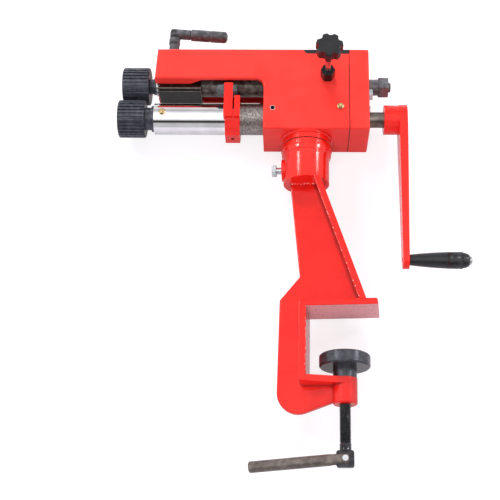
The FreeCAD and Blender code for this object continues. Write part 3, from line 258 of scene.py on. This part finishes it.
def turned_steel(name, light, dark, rough, ring, ring_depth):
    """Machined bar: bright steel with faint rings left round it by the tool."""
    material, tree = begin(name)
    place = place_of(tree)
    rings = speckle(tree, place, ring, detail=2, stretch=(1, 0.02, 0.02))
    colour = blend(tree, speckle(tree, place, grain=16, detail=4), paint(dark), paint(light))
    uneven = spread(tree, rings, rough, rough + TOOTH_CHANGE)
    shader = add(tree, "ShaderNodeBsdfPrincipled",
                 {"Base Color": colour, "Metallic": 1.0, "Roughness": uneven,
                  "Normal": relief(tree, rings, ring_depth)})
    return close(material, shader.outputs["BSDF"])


def arbor_steel():
    """Ground tube: smooth and silvery where the gauge slides, dull and pitted next to the housing."""
    material, tree = begin("ground_tube_steel")
    place = place_of(tree)
    along = add(tree, "ShaderNodeSeparateXYZ", {"Vector": place}).outputs["X"]
    dull = add(tree, "ShaderNodeMapRange", {"Value": along, "From Min": DULL_FROM * MM,
                                            "From Max": (DULL_FROM + DULL_FADE) * MM}).outputs["Result"]
    pits = blend(tree, speckle(tree, place, grain=2.4, detail=5), paint("#7C7674"), paint("#B2ADAA"),
                 0.42, 0.6)
    clean = blend(tree, speckle(tree, place, grain=22), paint("#E4E2E6"), paint("#F2F0F4"))
    colour = add(tree, "ShaderNodeMix", {0: dull, MIX_LOW: clean, MIX_HIGH: pits},
                 data_type="RGBA").outputs[MIX_COLOUR]
    rough = add(tree, "ShaderNodeMapRange", {"Value": dull, "To Min": 0.1, "To Max": 0.42}).outputs["Result"]
    tooth = relief(tree, speckle(tree, place, grain=1.5), depth=0.006)
    shader = add(tree, "ShaderNodeBsdfPrincipled",
                 {"Base Color": colour, "Metallic": 1.0, "Roughness": rough, "Normal": tooth})
    return close(material, shader.outputs["BSDF"])


def blackened_steel(name, light, dark, rough, grain, tooth_depth, metal=0.5):
    """Steel under an oily black or grey coat, oxide or phosphate, with a satin sheen and a fine tooth."""
    material, tree = begin(name)
    place = place_of(tree)
    tooth = speckle(tree, place, grain)
    colour = blend(tree, speckle(tree, place, grain=7, detail=4), paint(dark), paint(light))
    uneven = spread(tree, tooth, rough, rough + TOOTH_CHANGE)
    shader = add(tree, "ShaderNodeBsdfPrincipled",
                 {"Base Color": colour, "Metallic": metal, "Roughness": uneven,
                  "Normal": relief(tree, tooth, tooth_depth)})
    return close(material, shader.outputs["BSDF"])


def moulded_plastic():
    """Injection-moulded nylon: black, finely spark-textured, satin."""
    material, tree = begin("moulded_nylon")
    place = place_of(tree)
    sparks = speckle(tree, place, grain=0.9)
    colour = blend(tree, speckle(tree, place, grain=12), paint("#121215"), paint("#1C1C20"))
    shader = add(tree, "ShaderNodeBsdfPrincipled",
                 {"Base Color": colour, "Roughness": spread(tree, sparks, 0.3, 0.42),
                  "Normal": relief(tree, sparks, depth=0.03)})
    return close(material, shader.outputs["BSDF"])


def turned_brass():
    """Turned brass: warm yellow metal, a little dulled in patches."""
    material, tree = begin("turned_brass")
    patches = speckle(tree, place_of(tree), grain=3)
    colour = blend(tree, patches, paint("#C09C5C"), paint("#F5E0B0"))
    shader = add(tree, "ShaderNodeBsdfPrincipled",
                 {"Base Color": colour, "Metallic": 1.0, "Roughness": spread(tree, patches, 0.2, 0.38),
                  "Normal": relief(tree, patches, depth=0.04)})
    return close(material, shader.outputs["BSDF"])


# Enamels: fresh and deep red, width and depth of the casting's lumps, roughness, strength of the shine
HEAD_ENAMEL = poured_enamel("head_enamel", "#F83A33", "#F0322B", 9, 0.03, 0.32, 0.3, COVER_JOINT)
SOCKET_ENAMEL = poured_enamel("socket_enamel", "#F51F15", "#E4160D", 5, 0.14, 0.1, 0.5, SWIVEL_JOINT)
STAND_ENAMEL = jaw_enamel()
GLINT_SPOTTED_ENAMEL = glint_spotted_enamel()
CRANK_ENAMEL = poured_enamel("crank_enamel", "#F51F15", "#EA190F", 7, 0.1, 0.14, 0.45)

# Steels: light and dark colour, roughness, width and depth of the tool's rings or of the tooth
TUBE_STEEL = arbor_steel()
BRIGHT_STEEL = turned_steel("turned_steel", "#D9D8DA", "#B9B6BA", 0.18, 1.4, 0.008)
SHAFT_STEEL = turned_steel("handled_shaft_steel", "#8F8680", "#5E5650", 0.26, 1.2, 0.015)
PLATED_STEEL = turned_steel("zinc_plated_steel", "#E2E4E8", "#B9BDC4", 0.22, 0.8, 0.01)
ROLL_STEEL = blackened_steel("roll_black_oxide", "#585A64", "#3B3D45", 0.3, 1.2, 0.03)
BLACK_STEEL = blackened_steel("black_oxide", "#1E1F22", "#111215", 0.24, 1.6, 0.02)
OILED_STEEL = blackened_steel("oiled_black_tube", "#2A2523", "#151211", 0.16, 2.5, 0.02)
SPINDLE_STEEL = blackened_steel("oily_spindle_steel", "#7A716B", "#3B3532", 0.28, 2.2, 0.04)
# Light colour for the rounded edges of black parts: bare worn metal, and also a painted highlight along the
# edge
WORN_EDGE_HIGHLIGHT_STEEL = turned_steel("edge_worn_bare_highlight", "#B8ADA2", "#8C8178", 0.3, 1.0, 0.02)
NUT_STEEL = blackened_steel("nut_black_oxide", "#7B7A7E", "#55555A", 0.28, 1.4, 0.03)
PAD_STEEL = blackened_steel("pad_black_oxide", "#4E4F56", "#3A3B41", 0.15, 1.6, 0.01)
THREAD_STEEL = blackened_steel("thread_black_oxide", "#3E3E42", "#242427", 0.14, 1.2, 0.01)
HANDLE_STEEL = blackened_steel("handle_phosphate", "#7B706B", "#5A524E", 0.3, 1.0, 0.05)
KNOB_STEEL = blackened_steel("phosphated_screw", "#5C5D61", "#343538", 0.42, 1.3, 0.12, metal=0.1)
NYLON = moulded_plastic()
BRASS = turned_brass()

# Every node that isn't here is black steel
FINISHES = {
    HEAD_ENAMEL: ["main_body", "end_cover"],
    STAND_ENAMEL: ["stand_frame"],
    SOCKET_ENAMEL: ["socket_tube", "swivel_post"],
    CRANK_ENAMEL: ["crank_arm", "gauge_bracket"],
    TUBE_STEEL: ["lower_tube"],
    BRIGHT_STEEL: ["upper_washer", "press_foot", "grip_spindle"],
    SHAFT_STEEL: ["lower_shaft"],
    PLATED_STEEL: ["lock_bolt", "lock_stud", "cover_bolts", "clamp_pin"],
    ROLL_STEEL: ["lower_roll", "upper_roll", "lower_washer", "upper_rings"],
    OILED_STEEL: ["bearing_block"],
    SPINDLE_STEEL: ["upper_tube", "upper_shaft"],
    NUT_STEEL: ["rear_nut"],
    PAD_STEEL: ["clamp_pad"],
    HANDLE_STEEL: ["clamp_handle"],
    KNOB_STEEL: ["press_handle", "press_screw", "press_pin", "gauge_bolt", "gauge_nut", "gauge_washer"],
    NYLON: ["star_knob", "grip", "top_cover"],
    BRASS: ["front_oiler", "tube_oiler", "lower_front_bush", "lower_rear_bush", "cover_bush",
            "upper_front_bush", "upper_ball_bush", "lock_plug"],
}


def wear(piece, material):
    piece.data.materials.clear()
    piece.data.materials.append(material)


def finish_nodes():
    named = {name: material for material, names in FINISHES.items() for name in names}
    for name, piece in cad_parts.items():
        wear(piece, named.get(name, BLACK_STEEL))


# Places on the object that the dressing follows, in millimetres
POST_X = -54.699      # the swivel axis
POST_Y = 5.749
STAND_TURN = -6.0     # degrees
SOCKET_BOTTOM = 201.7
HALF_WEB = 5.0
WEB_LEFT = -22.0
WEB_RIGHT = 13.2
FLANGE_RIGHT = 23.2
HALF_SOCKET_FLANGE = 32.3
HALF_FLANGE = 32.5
FLANGE_FOOT = 78.0
JAW_TOP = 9.5
RIM_INNER = 3.2
RIM_BOTTOM = -99.0
SCREW_HOLE = (-106.6, -33.9, 311.0)
SCREW_HOLE_RADIUS = 3.7

# Beads, in millimetres: each name in BEAD is the radius of the bead itself
BEAD_SIDES = 8
BEAD_STEP = 1.1       # length of one ring of a bead's mesh
COLLAR_RADIUS = 36.9
COLLAR_BEAD = 2.8
SOCKET_RINGS = ((255.0, 36.4), (247.6, 35.2))    # height and radius of each
SOCKET_BEAD = 2.0
SCREW_HOLE_BEAD = 0.5
WEB_BEAD = 2.2
FLANGE_BEAD = 2.0
INNER_SHORT = 6       # how far the flange's two beads stop short of its edges
OUTER_SHORT = 8
CUT_BEAD = 0.9
CUT_INSET = 1.1       # a cut edge's bead lies this far inside the plate's edge
FLANGE_LEAN = 1.6     # how far the sloping flange has leant out where its cut edges start
FLANGE_CUT_SHORT = 2
RIM_CUT_SHORT = 3

# The clamp screw's thread and the grip's sleeve, in millimetres
THREAD_LOW = -189.0
THREAD_HIGH = -100.0
THREAD_PITCH = 2.0
THREAD_DEPTH = 0.9
THREAD_RUNOUT = 0.4   # length in which the shank gets down to the thread's root
SCREW_RADIUS = 8.0
RIDGE_SUNK = 0.1      # how deep the ridge's foot sits in the shank
RIDGE_CREST = 0.45    # the crest's place and the foot's width, as shares of the pitch
RIDGE_FOOT = 0.9
TURN_STEPS = 20
SLEEVE_LENGTH = 22.0
SLEEVE_INSET = 10.0   # from the grip's end to the sleeve's end
SLEEVE_START_RADIUS = 12.2
SLEEVE_END_RADIUS = 12.5
SLEEVE_SIDES = 64

# Corners, in degrees
FLAT_WITHIN = 0.5     # triangles that meet at less than this are one face
ROUNDED_FROM = 35     # corners sharper than this are rounded


def drawn(name, shape):
    """An object at the origin whose mesh is the shape, which is used up."""
    mesh = bpy.data.meshes.new(name)
    shape.to_mesh(mesh)
    shape.free()
    piece = bpy.data.objects.new(name, mesh)
    bpy.context.collection.objects.link(piece)
    return piece


def link(name, shape, body, material):
    """A piece of the model that moves with a body."""
    piece = drawn(name, shape)
    wear(piece, material)
    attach(piece, body)
    return piece


def copied(node):
    """A CAD node's mesh with its loose triangles joined."""
    shape = bmesh.new()
    shape.from_mesh(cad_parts[node].data)
    bmesh.ops.remove_doubles(shape, verts=shape.verts, dist=0.005 * MM)
    return shape


def softened(node, body, material, width, segments=3, worn=None):
    """The node with its corners broken by a small round, painted like the rest, or with a light colour on
    the round that is metal worn bare and also a painted highlight.
    """
    shape = copied(node)
    bmesh.ops.dissolve_limit(shape, angle_limit=math.radians(FLAT_WITHIN), verts=shape.verts,
                             edges=shape.edges)
    for face in shape.faces:
        face.smooth = True
    piece = link(node + "_dressed", shape, body, material)
    bevel = piece.modifiers.new("round", "BEVEL")
    bevel.width = width * MM
    bevel.segments = segments
    bevel.limit_method = "ANGLE"
    bevel.angle_limit = math.radians(ROUNDED_FROM)
    # The rounds take the light edge colour: worn bare metal together with a painted highlight
    if worn:
        piece.data.materials.append(worn)
        bevel.material = 1
    shading = piece.modifiers.new("even shading", "WEIGHTED_NORMAL")
    shading.weight = 100
    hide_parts(node)


def from_post(x, y, z):
    """A place given from the swivel axis and the jaw, in millimetres."""
    return Vector((x + POST_X, y + POST_Y, z)) * MM


def with_stand(shape):
    """Turns a shape drawn square to the post into the stand's own direction."""
    bmesh.ops.rotate(shape, verts=shape.verts, cent=from_post(0, 0, 0),
                     matrix=Matrix.Rotation(math.radians(STAND_TURN), 3, "Z"))


def lumpy(shape, depth, ripple):
    """Pushes the surface in and out by about depth, in lumps ripple millimetres long."""
    shape.normal_update()
    moves = [(vert, vert.normal * depth * MM * noise.noise(vert.co / (ripple * MM))) for vert in shape.verts]
    for vert, move in moves:
        vert.co += move


def cap(shape, sides):
    """Closes the open ends."""
    rims = [edge for edge in shape.edges if edge.is_boundary]
    bmesh.ops.holes_fill(shape, edges=rims, sides=sides)


def swept(shape, turn, start, bead_radius, **path):
    """Sweeps a bead's round outline, turned and put at its start, along a path."""
    made = bmesh.ops.create_circle(shape, segments=BEAD_SIDES, radius=bead_radius * MM)["verts"]
    bmesh.ops.rotate(shape, verts=made, cent=(0, 0, 0), matrix=turn)
    bmesh.ops.translate(shape, verts=made, vec=start)
    edges = list(dict.fromkeys(edge for vert in made for edge in vert.link_edges))
    bmesh.ops.spin(shape, geom=made + edges, axis=(0, 0, 1), **path)


def bead_ring(shape, centre, ring_radius, bead_radius):
    """Bead that runs once round an upright axis."""
    swept(shape, ON_EDGE, centre + Vector((ring_radius * MM, 0, 0)), bead_radius, cent=centre,
          angle=FULL_TURN, steps=round(FULL_TURN * ring_radius / BEAD_STEP), use_merge=True)


def bead_line(shape, start, end, bead_radius):
    """Bead along a straight corner, closed at both ends."""
    along = end - start
    steps = max(2, round(along.length / (BEAD_STEP * MM)))
    swept(shape, along.to_track_quat("Z", "Y").to_matrix(), start, bead_radius, cent=start,
          dvec=along / steps, angle=0, steps=steps)
    cap(shape, BEAD_SIDES)


def welded(name, shape, body, material, depth, ripple):
    """Closes a bead's mesh, makes it lumpy and adds it to the model."""
    bmesh.ops.remove_doubles(shape, verts=shape.verts, dist=0.01 * MM)
    bmesh.ops.recalc_face_normals(shape, faces=shape.faces)
    lumpy(shape, depth, ripple)
    for face in shape.faces:
        face.smooth = True
    link(name, shape, body, material)


def collar_weld():
    """Bead that joins the swivel post's collar to the underside of the housing."""
    shape = bmesh.new()
    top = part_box("swivel_post")[1].z
    bead_ring(shape, from_post(0, 0, top / MM - COLLAR_BEAD / 2), COLLAR_RADIUS, COLLAR_BEAD)
    welded("collar_weld", shape, "head", SOCKET_ENAMEL, depth=0.8, ripple=3.4)


def socket_weld():
    """Two beads that join the ring at the socket's mouth to the socket."""
    shape = bmesh.new()
    for height, radius in SOCKET_RINGS:
        bead_ring(shape, from_post(0, 0, height), radius, SOCKET_BEAD)
    welded("socket_weld", shape, "stand", SOCKET_ENAMEL, depth=0.7, ripple=3.2)


def screw_hole_rim():
    """Bare bright rim of the screw hole in the housing's front."""
    shape = bmesh.new()
    centre = Vector(SCREW_HOLE) * MM
    bead_ring(shape, centre, SCREW_HOLE_RADIUS, SCREW_HOLE_BEAD)
    bmesh.ops.rotate(shape, verts=shape.verts, cent=centre, matrix=ON_EDGE)
    welded("screw_hole_rim", shape, "head", BRIGHT_STEEL, depth=0.1, ripple=1.0)


def column_welds():
    """Beads where the web and flange meet the socket, on both sides of the web and outside the flange."""
    shape = bmesh.new()
    for side in (-1, 1):
        corner = from_post(WEB_RIGHT, side * HALF_WEB, SOCKET_BOTTOM)
        inner_end = from_post(WEB_RIGHT, side * (HALF_SOCKET_FLANGE - INNER_SHORT), SOCKET_BOTTOM)
        bead_line(shape, from_post(WEB_LEFT, side * HALF_WEB, SOCKET_BOTTOM), corner, WEB_BEAD)
        bead_line(shape, corner, inner_end, FLANGE_BEAD)
    bead_line(shape, from_post(FLANGE_RIGHT, -HALF_SOCKET_FLANGE + OUTER_SHORT, SOCKET_BOTTOM),
              from_post(FLANGE_RIGHT, HALF_SOCKET_FLANGE - OUTER_SHORT, SOCKET_BOTTOM), FLANGE_BEAD)
    with_stand(shape)
    welded("column_weld", shape, "stand", GLINT_SPOTTED_ENAMEL, depth=1.1, ripple=3.2)


def cut_edges():
    """Rough flame-cut edges of the column flange and of the clamp rim, under the paint."""
    shape = bmesh.new()
    for side in (-1, 1):
        at_socket = side * (HALF_SOCKET_FLANGE - CUT_INSET)
        at_edge = side * (HALF_FLANGE - CUT_INSET)
        bead_line(shape, from_post(WEB_RIGHT + FLANGE_LEAN, at_socket, SOCKET_BOTTOM - FLANGE_CUT_SHORT),
                  from_post(FLANGE_FOOT, at_edge, JAW_TOP + FLANGE_CUT_SHORT), CUT_BEAD)
        bead_line(shape, from_post(RIM_INNER - CUT_INSET, at_edge, RIM_BOTTOM + RIM_CUT_SHORT),
                  from_post(RIM_INNER - CUT_INSET, at_edge, -RIM_CUT_SHORT), CUT_BEAD)
    with_stand(shape)
    welded("cut_edges", shape, "stand", GLINT_SPOTTED_ENAMEL, depth=0.9, ripple=2.6)


def grip_sleeve():
    """Thicker sleeve moulded on the outer end of the grip."""
    low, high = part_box("grip")
    shape = bmesh.new()
    bmesh.ops.create_cone(shape, cap_ends=True, segments=SLEEVE_SIDES, radius1=SLEEVE_START_RADIUS * MM,
                          radius2=SLEEVE_END_RADIUS * MM, depth=SLEEVE_LENGTH * MM,
                          matrix=Matrix.Rotation(math.pi / 2, 4, "Y"))
    centre = (low + high) / 2
    centre.x = high.x - (SLEEVE_INSET + SLEEVE_LENGTH / 2) * MM
    bmesh.ops.translate(shape, verts=shape.verts, vec=centre)
    for face in shape.faces:
        face.smooth = len(face.verts) < SLEEVE_SIDES
    link("grip_sleeve", shape, "grip", NYLON)


def clamp_thread():
    """The clamp screw with its shank turned down and a ridge of the real pitch wound round it."""
    shape = copied("clamp_screw")
    low, high = THREAD_LOW * MM, THREAD_HIGH * MM
    runout = THREAD_RUNOUT * MM
    for height in (low, low + runout, high - runout, high):
        bmesh.ops.bisect_plane(shape, geom=shape.verts[:] + shape.edges[:] + shape.faces[:],
                               plane_co=(0, 0, height), plane_no=(0, 0, 1))
    root = SCREW_RADIUS - THREAD_DEPTH
    for vert in shape.verts:
        if low + runout / 2 < vert.co.z < high - runout / 2:
            vert.co.x *= root / SCREW_RADIUS
            vert.co.y *= root / SCREW_RADIUS
    turns = math.floor((THREAD_HIGH - THREAD_LOW) / THREAD_PITCH) - 1
    start = low + THREAD_PITCH * MM / 2
    foot = (root - RIDGE_SUNK) * MM
    corners = [shape.verts.new((foot, 0, start)),
               shape.verts.new((SCREW_RADIUS * MM, 0, start + THREAD_PITCH * RIDGE_CREST * MM)),
               shape.verts.new((foot, 0, start + THREAD_PITCH * RIDGE_FOOT * MM))]
    sides = [shape.edges.new((corners[i - 1], corners[i])) for i in range(len(corners))]
    rise = Vector((0, 0, THREAD_PITCH * MM / TURN_STEPS))
    bmesh.ops.spin(shape, geom=corners + sides, cent=(0, 0, 0), axis=(0, 0, 1), dvec=rise,
                   angle=FULL_TURN * turns, steps=turns * TURN_STEPS)
    cap(shape, len(corners))
    bmesh.ops.recalc_face_normals(shape, faces=shape.faces)
    piece = link("clamp_screw_threaded", shape, "clamp_screw", THREAD_STEEL)
    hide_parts("clamp_screw")


# The studio
LAMPS_AIM = Vector((0, 0, 0.15))
PAPER_SIZE = 3
PAPER_GAP = 4         # from the machine's back to the sweep, in millimetres
PAPER_GLOW = 0.74
PAPER_MIRRORED = 0.42
WORLD_LEVEL = 0.52
ROOM_LEVEL = 1.4
# The mirrored room's greys, each after its place on the way from straight down (0) to straight up (1)
ROOM_BANDS = [(0.0, 0.45), (0.07, 0.42), (0.1, 0.1), (0.14, 0.0), (0.18, 0.06), (0.24, 0.7), (0.3, 1.0),
              (0.6, 1.0), (0.735, 0.58), (0.84, 0.34), (0.9, 0.6), (1.0, 0.6)]
WHITE = (1, 1, 1, 1)


def studio():
    """White sweep close behind, a white world and soft lamps."""
    shape = bmesh.new()
    bmesh.ops.create_grid(shape, x_segments=1, y_segments=1, size=PAPER_SIZE)
    bmesh.ops.rotate(shape, verts=shape.verts, cent=(0, 0, 0), matrix=ON_EDGE)
    bmesh.ops.translate(shape, verts=shape.verts, vec=(0, cad_box[1][1] + PAPER_GAP * MM, 0))
    backdrop = drawn("backdrop", shape)
    wear(backdrop, paper())
    surroundings()
    lamp("key", (-0.5, -1.15, 2.35), size=1.0, watts=62, mirrored=False)
    lamp("left box", (-1.5, -1.7, 0.95), size=0.4, watts=10)
    lamp("right box", (1.75, -1.3, 0.9), size=0.4, watts=14)
    lamp("low", (-0.2, -1.5, -1.5), size=1.2, watts=20, mirrored=False)


def paper():
    """White sweep: matt paper that keeps soft faint shadows and is clear from behind."""
    material, tree = begin("white_sweep")
    matt = add(tree, "ShaderNodeBsdfDiffuse", {"Color": paint("#A8A4AC")})
    rays = add(tree, "ShaderNodeLightPath").outputs
    mirrored = add(tree, "ShaderNodeMath", {0: rays["Is Glossy Ray"], 1: PAPER_MIRRORED},
                   operation="MULTIPLY").outputs[0]
    seen = add(tree, "ShaderNodeMath", {0: rays["Is Camera Ray"], 1: PAPER_GLOW, 2: mirrored},
               operation="MULTIPLY_ADD").outputs[0]
    glow = add(tree, "ShaderNodeEmission", {"Color": WHITE, "Strength": seen})
    paper_light = add(tree, "ShaderNodeAddShader", {0: matt.outputs[0], 1: glow.outputs[0]})
    back = add(tree, "ShaderNodeNewGeometry").outputs["Backfacing"]
    clear = add(tree, "ShaderNodeBsdfTransparent")
    both = add(tree, "ShaderNodeMixShader", {0: back, 1: paper_light.outputs[0], 2: clear.outputs[0]})
    return close(material, both.outputs[0])


def surroundings():
    """World that is white to the camera, lights evenly and mirrors as a room of dark and bright bands."""
    world = bpy.context.scene.world or bpy.data.worlds.new("studio")
    bpy.context.scene.world = world
    world.use_nodes = True
    tree = world.node_tree
    tree.nodes.clear()
    rays = add(tree, "ShaderNodeLightPath").outputs
    upward = add(tree, "ShaderNodeSeparateXYZ",
                 {"Vector": add(tree, "ShaderNodeTexCoord").outputs["Generated"]}).outputs["Z"]
    share = add(tree, "ShaderNodeMapRange",
                {"Value": upward, "From Min": -1, "From Max": 1}).outputs["Result"]
    bands = add(tree, "ShaderNodeValToRGB", {"Fac": share})
    stops = bands.color_ramp.elements
    while len(stops) < len(ROOM_BANDS):
        stops.new(0.5)
    for stop, (position, grey) in zip(stops, ROOM_BANDS):
        stop.position = position
        stop.color = (grey, grey, grey, 1)
    plain = add(tree, "ShaderNodeBackground", {"Color": WHITE, "Strength": WORLD_LEVEL})
    room = add(tree, "ShaderNodeBackground", {"Color": bands.outputs["Color"], "Strength": ROOM_LEVEL})
    white = add(tree, "ShaderNodeBackground", {"Color": WHITE, "Strength": 1.0})
    lit = add(tree, "ShaderNodeMixShader",
              {0: rays["Is Glossy Ray"], 1: plain.outputs[0], 2: room.outputs[0]}).outputs[0]
    sky = add(tree, "ShaderNodeMixShader", {0: rays["Is Camera Ray"], 1: lit, 2: white.outputs[0]})
    add(tree, "ShaderNodeOutputWorld", {"Surface": sky.outputs[0]})


def lamp(name, place, size, watts, mirrored=True):
    """Square lamp aimed at the machine, which glossy surfaces mirror or not."""
    data = bpy.data.lights.new(name, "AREA")
    data.size = size
    data.energy = watts
    light = bpy.data.objects.new(name, data)
    bpy.context.collection.objects.link(light)
    light.location = place
    light.rotation_euler = (LAMPS_AIM - Vector(place)).to_track_quat("-Z", "Y").to_euler()
    light.visible_glossy = mirrored


bpy.context.scene.view_settings.view_transform = "Standard"
set_camera()
finish_nodes()
softened("socket_tube", "stand", SOCKET_ENAMEL, 1.5)
softened("crank_arm", "crank", CRANK_ENAMEL, 1.4)
softened("gauge_bracket", "gauge", CRANK_ENAMEL, 0.8)
softened("bearing_block", "carrier", OILED_STEEL, 0.7, 2, WORN_EDGE_HIGHLIGHT_STEEL)
softened("clamp_handle", "clamp_handle", HANDLE_STEEL, 0.5, 2, WORN_EDGE_HIGHLIGHT_STEEL)
softened("lock_bush", "head", BLACK_STEEL, 1.1)
softened("rear_nut", "upper_spindle", NUT_STEEL, 0.8)
softened("lower_roll", "crank", ROLL_STEEL, 0.4, 2)
softened("upper_roll", "upper_spindle", ROLL_STEEL, 0.4, 2)
collar_weld()
socket_weld()
screw_hole_rim()
column_welds()
grip_sleeve()
cut_edges()
clamp_thread()
studio()
